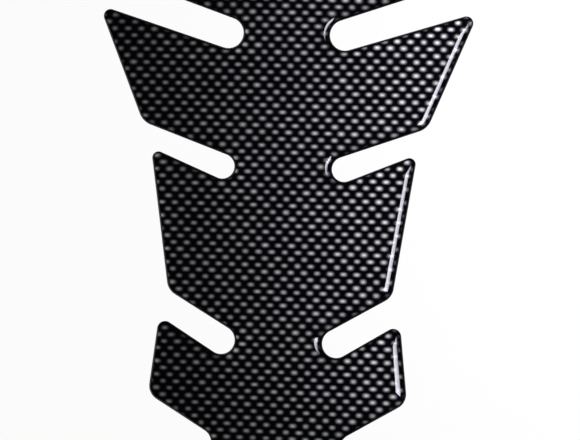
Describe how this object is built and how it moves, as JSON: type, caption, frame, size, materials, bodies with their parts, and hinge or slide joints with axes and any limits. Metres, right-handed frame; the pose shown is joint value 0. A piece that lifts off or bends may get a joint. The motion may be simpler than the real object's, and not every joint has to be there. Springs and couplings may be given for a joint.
{
  "type": "motorcycle tank pad",
  "caption": "Flat fishbone-shaped tank protector: a spine with pairs of raked ribs, carbon-look printed film under a clear domed resin face, with a plain adhesive back.",
  "frame": {"origin": "centre of the pad's length and width, on its flat adhesive back", "axes": "+Z out of the domed face, away from the tank; +Y along the spine towards the wide head; +X across the ribs"},
  "size_m": [0.1392, 0.2168, 0.002],
  "materials": {
    "domed_carbon_look": "clear high-gloss resin over a black film printed with rows of silver-grey dots"
  },
  "bodies": {
    "root": {"tank_pad": "domed_carbon_look"}
  },
  "joints": []
}
